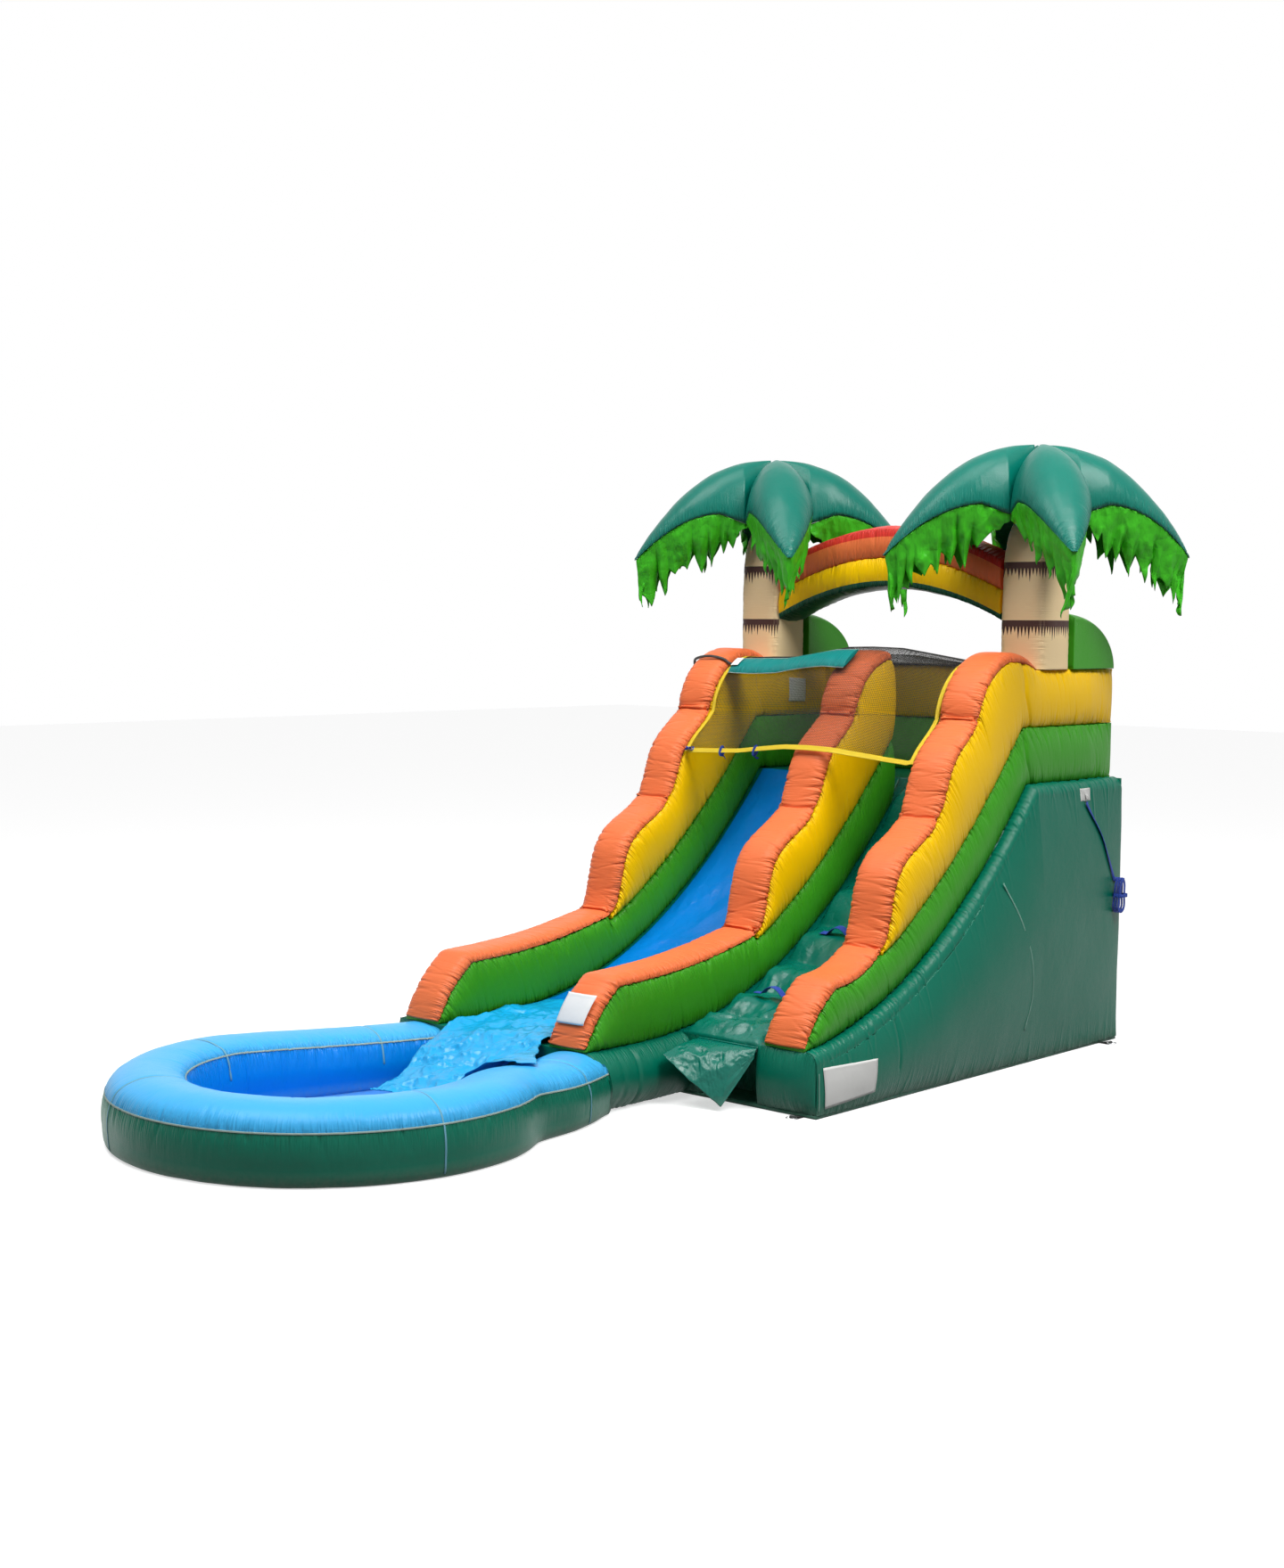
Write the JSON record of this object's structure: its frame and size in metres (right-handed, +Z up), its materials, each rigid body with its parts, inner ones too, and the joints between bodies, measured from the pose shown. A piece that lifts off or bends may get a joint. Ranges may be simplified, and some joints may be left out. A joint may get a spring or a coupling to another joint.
{
  "type": "inflatable water slide",
  "caption": "Inflatable backyard water slide with a climbing lane, palm canopies, an arch, a roof net and a round splash pool at the end of the slide lane.",
  "frame": {"origin": "on the ground, in the middle of the base's width, on the line through the axes of the two palm trunks", "axes": "+X towards the climbing lane, +Y from the pool towards the rear, +Z up"},
  "size_m": [3.5176, 6.6903, 3.8398],
  "materials": {
    "orange_vinyl": "satin coated fabric",
    "yellow_vinyl": "satin coated fabric",
    "green_vinyl": "satin coated fabric",
    "dark_green_vinyl": "satin coated fabric",
    "trunk_vinyl": "satin coated fabric",
    "frond_vinyl": "glossy coated fabric",
    "fringe_vinyl": "matt coated fabric",
    "blue_vinyl": "glossy coated fabric",
    "net_mesh": "open mesh",
    "yellow_webbing": "woven webbing",
    "blue_webbing": "woven webbing",
    "white_webbing": "woven webbing",
    "teal_vinyl": "satin coated fabric",
    "black_rubber": "satin rubber",
    "blue_plastic": "moulded",
    "zip_tape": "woven tape",
    "plated_steel": "zinc plated"
  },
  "bodies": {
    "slide": {"base_floor": "dark_green_vinyl", "base_rear_panel": "dark_green_vinyl", "base_front_panel": "dark_green_vinyl", "base_left_panel": "dark_green_vinyl", "base_right_panel": "dark_green_vinyl", "former_left": "dark_green_vinyl", "former_right": "dark_green_vinyl", "platform_deck": "dark_green_vinyl", "slide_bed": "dark_green_vinyl", "climb_bed": "dark_green_vinyl", "exit_base": "dark_green_vinyl", "inflation_sleeve": "dark_green_vinyl", "left_wall_green": "green_vinyl", "centre_wall_green": "green_vinyl", "right_wall_green": "green_vinyl", "back_wall_green": "green_vinyl", "left_wall_yellow": "yellow_vinyl", "centre_wall_yellow": "yellow_vinyl", "right_wall_yellow": "yellow_vinyl", "back_wall_yellow": "yellow_vinyl", "left_wall_orange": "orange_vinyl", "centre_wall_orange": "orange_vinyl", "right_wall_orange": "orange_vinyl", "left_buttress": "green_vinyl", "right_buttress": "green_vinyl", "arch_lower": "yellow_vinyl", "arch_upper": "orange_vinyl", "left_trunk": "trunk_vinyl", "right_trunk": "trunk_vinyl", "left_frond_1": "frond_vinyl", "left_frond_2": "frond_vinyl", "left_frond_3": "frond_vinyl", "left_frond_4": "frond_vinyl", "right_frond_1": "frond_vinyl", "right_frond_2": "frond_vinyl", "right_frond_3": "frond_vinyl", "right_frond_4": "frond_vinyl", "left_fringe": "fringe_vinyl", "right_fringe": "fringe_vinyl", "roof_net": "net_mesh", "net_webbing": "yellow_webbing", "pool_ring": "blue_vinyl", "pool_floor": "blue_vinyl", "slide_liner": "blue_vinyl", "climb_handle_1": "blue_webbing", "climb_handle_2": "blue_webbing", "climb_handle_3": "blue_webbing", "sleeve_band": "teal_vinyl", "spray_hose": "black_rubber", "tether_patch": "white_webbing", "tether_strap": "blue_webbing", "tether_hank": "blue_webbing", "zip_tape": "zip_tape"},
    "flap": {"climb_flap": "dark_green_vinyl"},
    "coupling": {"hose_coupling": "blue_plastic"},
    "slider": {"zip_slider": "plated_steel"},
    "ring_front_left": {"anchor_ring_front_left": "plated_steel"},
    "ring_front_right": {"anchor_ring_front_right": "plated_steel"},
    "ring_rear_left": {"anchor_ring_rear_left": "plated_steel"},
    "ring_rear_right": {"anchor_ring_rear_right": "plated_steel"}
  },
  "joints": [
    {"name": "flap_lift", "type": "hinge", "parent": "slide", "child": "flap", "pos_m": [0.658, -2.4863, 0.34245], "axis": [-1, 0, 0], "range_deg": [0, 110]},
    {"name": "coupling_turn", "type": "hinge", "parent": "slide", "child": "coupling", "pos_m": [-1.2544, -0.59295, 2.24727], "axis": [0, 0, 1], "continuous": true},
    {"name": "zip_run", "type": "slide", "parent": "slide", "child": "slider", "axis": [1, 0, 0], "range_m": [0, 0.465]},
    {"name": "ring_turn_front_left", "type": "hinge", "parent": "slide", "child": "ring_front_left", "pos_m": [-1.3565, -2.16, 0.01], "axis": [0, 1, 0], "range_deg": [0, 160]},
    {"name": "ring_turn_front_right", "type": "hinge", "parent": "slide", "child": "ring_front_right", "pos_m": [1.18358, -2.55, 0.01], "axis": [-1, 0, 0], "range_deg": [0, 160]},
    {"name": "ring_turn_rear_left", "type": "hinge", "parent": "slide", "child": "ring_rear_left", "pos_m": [-1.3565, 0.528, 0.01], "axis": [0, 1, 0], "range_deg": [0, 160]},
    {"name": "ring_turn_rear_right", "type": "hinge", "parent": "slide", "child": "ring_rear_right", "pos_m": [1.3565, 0.528, 0.01], "axis": [0, -1, 0], "range_deg": [0, 160]}
  ]
}
